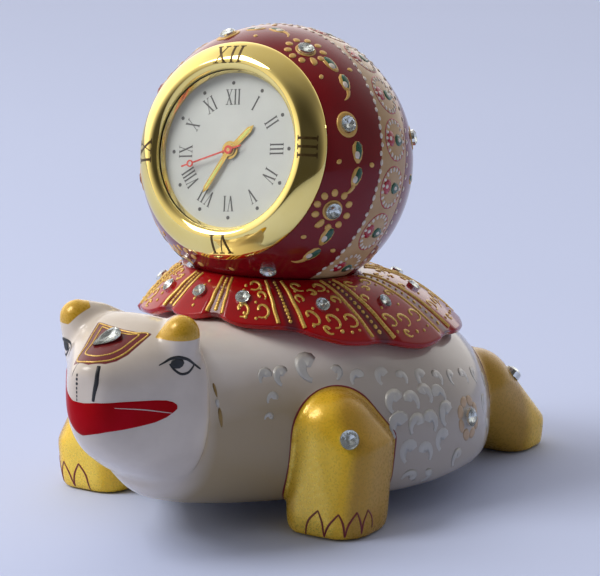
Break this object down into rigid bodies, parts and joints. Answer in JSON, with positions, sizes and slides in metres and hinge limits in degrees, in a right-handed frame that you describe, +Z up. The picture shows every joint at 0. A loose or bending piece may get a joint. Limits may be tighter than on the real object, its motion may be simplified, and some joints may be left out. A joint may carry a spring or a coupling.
{
  "type": "table clock",
  "caption": "White marble tortoise with a fluted red shell that carries a painted ball, and a press-in quartz clock that faces forward from the ball in a polished gold bezel.",
  "frame": {"origin": "table level under the middle of the figure, half way between the snout and the rear toes", "axes": "+Z up, -Y the way the tortoise and the dial face, +X the left side of the tortoise"},
  "size_m": [0.0846, 0.1276, 0.0987],
  "materials": {
    "marble": "polished white marble with a clear gloss",
    "shell_paint": "stone under glossy red enamel",
    "ball_paint": "stone under glossy maroon enamel",
    "rhinestone": "faceted clear glass",
    "gilt": "polished gilt",
    "crystal": "clear flat crystal",
    "reflector": "bright gilt",
    "dial_face": "satin white",
    "case_plastic": "moulded white",
    "grip_rubber": "black band",
    "hand_gilt": "gilt with luminous paint",
    "hand_red": "red enamel",
    "plate_plastic": "moulded white",
    "steel": "bright",
    "wheel_brass": "stamped",
    "magnet": "sintered",
    "copper_wire": "enamelled wire",
    "board": "green laminate",
    "chip_plastic": "black resin",
    "cell_steel": "bright steel can",
    "contact_brass": "plated strip",
    "cap_plastic": "moulded",
    "knob_plastic": "black moulded",
    "screw_steel": "bright"
  },
  "bodies": {
    "figure": {"tortoise_body": "marble", "shell_cap": "shell_paint", "clock_ball": "ball_paint", "head_stone": "rhinestone", "leg_stones": "rhinestone", "flank_stones": "rhinestone", "shell_stones": "rhinestone", "ball_stones_front": "rhinestone", "ball_stones_back": "rhinestone"},
    "insert": {"bezel": "gilt", "crystal": "crystal", "reflector_ring": "reflector", "dial": "dial_face", "case_cup": "case_plastic", "grip_ring": "grip_rubber", "main_plate": "plate_plastic", "train_bridge": "steel", "stator": "steel", "coil_core": "steel", "coil_winding": "copper_wire", "circuit_board": "board", "chip": "chip_plastic", "quartz_can": "steel", "battery": "cell_steel", "positive_contact": "contact_brass", "negative_contact": "contact_brass", "back_cover": "case_plastic", "case_screws": "screw_steel", "bridge_screws": "screw_steel"},
    "seconds": {"second_wheel": "wheel_brass", "second_hand": "hand_red"},
    "intermediate": {"intermediate_wheel": "wheel_brass"},
    "rotor": {"rotor_pinion": "plate_plastic", "rotor_magnet": "magnet"},
    "third": {"third_wheel": "wheel_brass"},
    "centre": {"centre_wheel": "wheel_brass"},
    "minutes": {"cannon_pinion": "steel", "minute_hand": "hand_gilt"},
    "setting": {"minute_wheel": "wheel_brass", "set_knob": "knob_plastic"},
    "hours": {"hour_wheel": "wheel_brass", "hour_hand": "hand_gilt"},
    "cap": {"battery_cap": "cap_plastic"}
  },
  "joints": [
    {"name": "insert_pull", "type": "slide", "parent": "figure", "child": "insert", "axis": [0, -0.9613, 0.2756], "range_m": [0, 0.03]},
    {"name": "second_spin", "type": "hinge", "parent": "insert", "child": "seconds", "pos_m": [0, -0.01111, 0.07486], "axis": [0, 0.9613, -0.2756], "continuous": true},
    {"name": "intermediate_spin", "type": "hinge", "parent": "insert", "child": "intermediate", "pos_m": [-0.00607, -0.01131, 0.07414], "axis": [0, 0.9613, -0.2756], "continuous": true},
    {"name": "rotor_spin", "type": "hinge", "parent": "insert", "child": "rotor", "pos_m": [-0.00912, -0.01261, 0.06963], "axis": [0, 0.9613, -0.2756], "continuous": true},
    {"name": "third_spin", "type": "hinge", "parent": "insert", "child": "third", "pos_m": [0.00239, -0.00956, 0.08027], "axis": [0, 0.9613, -0.2756], "continuous": true},
    {"name": "centre_spin", "type": "hinge", "parent": "insert", "child": "centre", "pos_m": [0, -0.01111, 0.07486], "axis": [0, 0.9613, -0.2756], "continuous": true},
    {"name": "minute_spin", "type": "hinge", "parent": "insert", "child": "minutes", "pos_m": [0, -0.01111, 0.07486], "axis": [0, 0.9613, -0.2756], "continuous": true},
    {"name": "setting_spin", "type": "hinge", "parent": "insert", "child": "setting", "pos_m": [0.00404, -0.01259, 0.0697], "axis": [0, 0.9613, -0.2756], "continuous": true},
    {"name": "hour_spin", "type": "hinge", "parent": "insert", "child": "hours", "pos_m": [0, -0.01111, 0.07486], "axis": [0, 0.9613, -0.2756], "continuous": true},
    {"name": "cap_turn", "type": "hinge", "parent": "insert", "child": "cap", "pos_m": [-0.00216, -0.00965, 0.07993], "axis": [0, 0.9613, -0.2756], "range_deg": [0, 60]}
  ],
  "couplings": [
    {"joint": "intermediate_spin", "follows": "second_spin", "ratio": -5},
    {"joint": "rotor_spin", "follows": "second_spin", "ratio": 30},
    {"joint": "third_spin", "follows": "second_spin", "ratio": -0.125},
    {"joint": "centre_spin", "follows": "second_spin", "ratio": 0.016667},
    {"joint": "setting_spin", "follows": "minute_spin", "ratio": -0.33333},
    {"joint": "hour_spin", "follows": "minute_spin", "ratio": 0.083333}
  ]
}
